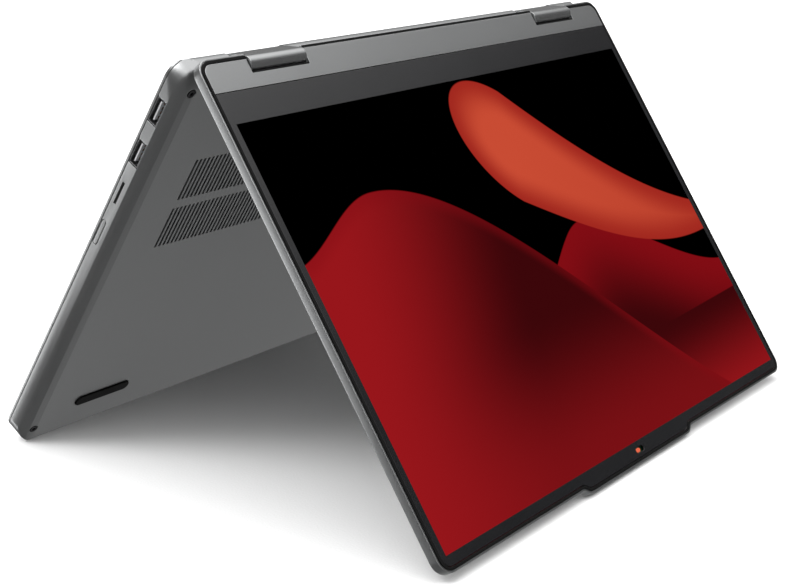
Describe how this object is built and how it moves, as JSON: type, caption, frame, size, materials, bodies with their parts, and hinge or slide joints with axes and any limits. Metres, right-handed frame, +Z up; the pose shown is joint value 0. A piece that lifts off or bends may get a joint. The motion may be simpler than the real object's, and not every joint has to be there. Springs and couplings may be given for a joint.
{
  "type": "laptop computer",
  "caption": "Convertible laptop computer in tent mode: screen lid and keyboard base joined back to back by double-axis hinges.",
  "frame": {"origin": "on the floor under the middle of the laptop as it stands in tent mode", "axes": "+X along the hinge line to the laptop's left side, +Y from the screen side to the keyboard side, +Z up"},
  "size_m": [0.313, 0.2596, 0.1921],
  "materials": {
    "shell": "fine blasted storm grey",
    "rubber": "matte",
    "glass": "black-backed cover glass, gloss",
    "screen": "display panel showing a red and black abstract",
    "keycap": "matte moulded",
    "pad": "smooth satin",
    "steel": "stamped",
    "plastic": "matte moulded black",
    "board": "solder mask",
    "copper": "copper",
    "marker": "orange-red paint"
  },
  "bodies": {
    "base": {"bottom_cover": "shell", "keyboard_deck": "shell", "keyboard_backplate": "steel", "front_foot_right": "rubber", "front_foot_left": "rubber", "rear_foot_strip": "rubber", "cover_screw_rear_right": "steel", "cover_screw_rear_left": "steel", "cover_screw_front_right": "steel", "cover_screw_front_left": "steel", "usb_a_port_rear": "steel", "usb_a_port_front": "steel", "hdmi_port": "steel", "usb_c_port_rear": "steel", "usb_c_port_front": "steel", "microsd_slot": "plastic", "audio_jack": "plastic", "base_hinge_bracket_right": "steel", "base_hinge_bracket_left": "steel", "base_hinge_pin_right": "steel", "base_hinge_pin_left": "steel", "mainboard": "board", "io_board": "board", "ssd_module": "board", "wifi_card": "board", "fan_housing": "plastic", "fin_stack": "copper", "heat_pipe": "copper", "battery_pack": "plastic", "speaker_right": "plastic", "speaker_left": "plastic"},
    "hinge_link": {"hinge_link_right": "shell", "hinge_link_left": "shell"},
    "lid": {"lid_back_cover": "shell", "hinge_strip_cover": "shell", "display_glass": "glass", "glass_gasket": "rubber", "hinge_edge_seal": "rubber", "display_panel": "screen", "camera_module": "board", "camera_lens": "glass", "display_cable": "plastic", "antenna_right": "copper", "antenna_left": "copper", "lid_hinge_bracket_right": "steel", "lid_hinge_bracket_left": "steel", "lid_hinge_pin_right": "steel", "lid_hinge_pin_left": "steel"},
    "power_button": {"power_button": "shell"},
    "touchpad": {"touchpad": "pad"},
    "key_row_function": {"key_row_function": "keycap"},
    "key_row_numbers": {"key_row_numbers": "keycap"},
    "key_row_upper": {"key_row_upper": "keycap"},
    "key_row_home": {"key_row_home": "keycap"},
    "key_row_lower": {"key_row_lower": "keycap"},
    "key_row_bottom_left": {"key_row_bottom_left": "keycap"},
    "space_bar": {"space_bar": "keycap"},
    "key_row_bottom_right": {"key_row_bottom_right": "keycap"},
    "fan_impeller": {"fan_impeller": "plastic"},
    "privacy_shutter": {"privacy_shutter": "marker"}
  },
  "joints": [
    {"name": "base_axis_turn", "type": "hinge", "parent": "base", "child": "hinge_link", "pos_m": [0, 0.00437, 0.18753], "axis": [1, 0, 0], "range_deg": [-146.7, 33.3]},
    {"name": "lid_axis_turn", "type": "hinge", "parent": "hinge_link", "child": "lid", "pos_m": [0, -0.00463, 0.18756], "axis": [1, 0, 0], "range_deg": [-146.7, 33.3]},
    {"name": "power_button_press", "type": "slide", "parent": "base", "child": "power_button", "axis": [1, 0, 0], "range_m": [0, 0.0004], "stiffness_N_per_m": 1000, "springref_m": -0.001},
    {"name": "touchpad_press", "type": "hinge", "parent": "base", "child": "touchpad", "pos_m": [0, 0.07753, 0.08267], "axis": [-1, 0, 0], "range_deg": [0, 0.4], "stiffness_Nm_per_rad": 12, "springref_deg": -0.57},
    {"name": "key_row_function_press", "type": "slide", "parent": "base", "child": "key_row_function", "axis": [0, -0.8372, -0.5469], "range_m": [0, 0.0013], "stiffness_N_per_m": 400, "springref_m": -0.0015},
    {"name": "key_row_numbers_press", "type": "slide", "parent": "base", "child": "key_row_numbers", "axis": [0, -0.8372, -0.5469], "range_m": [0, 0.0013], "stiffness_N_per_m": 400, "springref_m": -0.0015},
    {"name": "key_row_upper_press", "type": "slide", "parent": "base", "child": "key_row_upper", "axis": [0, -0.8372, -0.5469], "range_m": [0, 0.0013], "stiffness_N_per_m": 400, "springref_m": -0.0015},
    {"name": "key_row_home_press", "type": "slide", "parent": "base", "child": "key_row_home", "axis": [0, -0.8372, -0.5469], "range_m": [0, 0.0013], "stiffness_N_per_m": 400, "springref_m": -0.0015},
    {"name": "key_row_lower_press", "type": "slide", "parent": "base", "child": "key_row_lower", "axis": [0, -0.8372, -0.5469], "range_m": [0, 0.0013], "stiffness_N_per_m": 400, "springref_m": -0.0015},
    {"name": "key_row_bottom_left_press", "type": "slide", "parent": "base", "child": "key_row_bottom_left", "axis": [0, -0.8372, -0.5469], "range_m": [0, 0.0013], "stiffness_N_per_m": 400, "springref_m": -0.0015},
    {"name": "space_bar_press", "type": "slide", "parent": "base", "child": "space_bar", "axis": [0, -0.8372, -0.5469], "range_m": [0, 0.0013], "stiffness_N_per_m": 400, "springref_m": -0.0015},
    {"name": "key_row_bottom_right_press", "type": "slide", "parent": "base", "child": "key_row_bottom_right", "axis": [0, -0.8372, -0.5469], "range_m": [0, 0.0013], "stiffness_N_per_m": 400, "springref_m": -0.0015},
    {"name": "fan_spin", "type": "hinge", "parent": "base", "child": "fan_impeller", "pos_m": [0.025, 0.03472, 0.13833], "axis": [0, 0.8372, 0.5469], "continuous": true},
    {"name": "privacy_shutter_slide", "type": "slide", "parent": "lid", "child": "privacy_shutter", "axis": [1, 0, 0], "range_m": [0, 0.003]}
  ],
  "couplings": [
    {"joint": "base_axis_turn", "follows": "lid_axis_turn", "ratio": 1}
  ]
}
